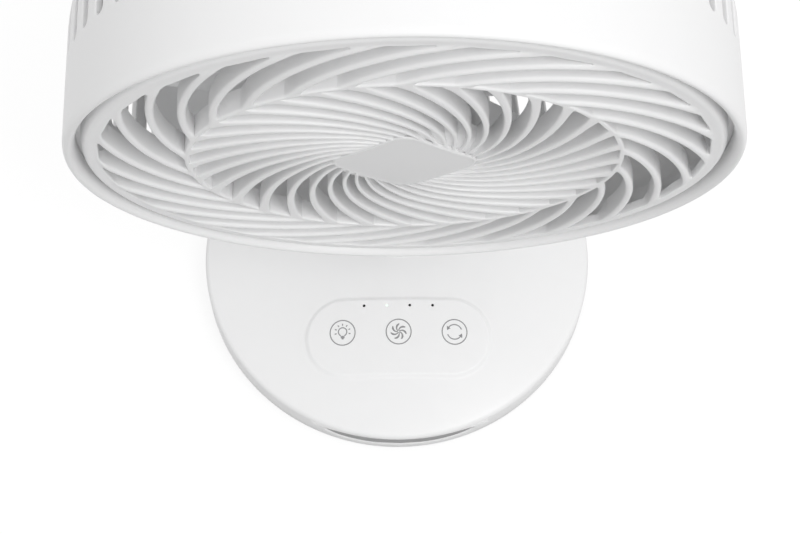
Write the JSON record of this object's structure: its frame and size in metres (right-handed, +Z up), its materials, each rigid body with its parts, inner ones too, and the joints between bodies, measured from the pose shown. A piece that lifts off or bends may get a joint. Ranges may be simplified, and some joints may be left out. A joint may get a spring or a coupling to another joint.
{
  "type": "desk fan",
  "caption": "Round-based portable fan: tilting, swivelling drum head with swirl grille, touch pad, night light and battery base.",
  "frame": {"origin": "centre of the underside of the base's rubber pad", "axes": "+Z up, the front faces -Y, +X to the right seen from the front"},
  "size_m": [0.2106, 0.155, 0.2928],
  "materials": {
    "shell_white": "satin gloss",
    "plate_white": "fine matte texture",
    "grille_white": "satin",
    "badge_white": "satin",
    "impeller_white": "satin",
    "rubber_grey": "matte",
    "cable_sheath": "matte",
    "nylon": "natural nylon",
    "steel": "zinc plated",
    "motor_can": "plated",
    "ballast": "black oxide",
    "winding": "enamelled copper",
    "circuit_board": "solder mask",
    "contact_spring": "plated",
    "led": "clear resin",
    "light_pipe": "clear",
    "lens": "milky smoke",
    "battery": "laminated foil"
  },
  "bodies": {
    "base": {"rubber_pad": "rubber_grey", "base_lower_shell": "plate_white", "base_upper_shell": "shell_white", "base_screws": "steel", "ballast_plate": "ballast", "battery_cells": "battery", "control_board": "circuit_board", "board_screws": "steel", "touch_springs": "contact_spring", "indicator_leds": "led", "light_guide": "light_pipe", "night_light_lens": "lens", "night_light_board": "circuit_board", "charge_board": "circuit_board", "usb_socket": "steel", "thrust_washer": "nylon", "swivel_motor": "motor_can", "motor_ear_screws": "steel"},
    "pinion": {"pinion_shaft": "steel", "swivel_pinion": "nylon"},
    "neck": {"turntable": "nylon", "retaining_ring": "steel", "hub_screws": "steel", "neck_front_shell": "shell_white", "neck_rear_shell": "shell_white", "neck_screws": "steel", "tilt_bolt": "steel", "tilt_nut": "steel", "spring_washer": "steel", "friction_washers": "rubber_grey", "hinge_caps": "shell_white", "neck_lead": "cable_sheath"},
    "head": {"head_knuckle": "shell_white", "knuckle_screws": "steel", "drum_housing": "shell_white", "front_grille": "grille_white", "centre_badge": "badge_white", "rear_cover": "shell_white", "cover_screws": "steel", "motor_mount": "plate_white", "mount_screws": "steel", "motor_stator": "winding", "shaft_bearings": "steel", "driver_board": "circuit_board", "head_lead": "cable_sheath"},
    "fan": {"impeller": "impeller_white", "impeller_nut": "steel", "motor_rotor": "motor_can", "motor_shaft": "steel"}
  },
  "joints": [
    {"name": "swivel", "type": "hinge", "parent": "base", "child": "neck", "pos_m": [0, 0.018, 0.02], "axis": [0, 0, 1], "range_deg": [-40, 40]},
    {"name": "pinion_spin", "type": "hinge", "parent": "base", "child": "pinion", "pos_m": [0, -0.0075, 0.02], "axis": [0, 0, 1], "range_deg": [-100, 100]},
    {"name": "tilt", "type": "hinge", "parent": "neck", "child": "head", "pos_m": [0, 0.018, 0.0715], "axis": [-1, 0, 0], "range_deg": [-6, 34]},
    {"name": "fan_spin", "type": "hinge", "parent": "head", "child": "fan", "pos_m": [0, -0.01084, 0.18773], "axis": [0, -0.9936, -0.1132], "continuous": true}
  ],
  "couplings": [
    {"joint": "pinion_spin", "follows": "swivel", "ratio": -2.4}
  ]
}
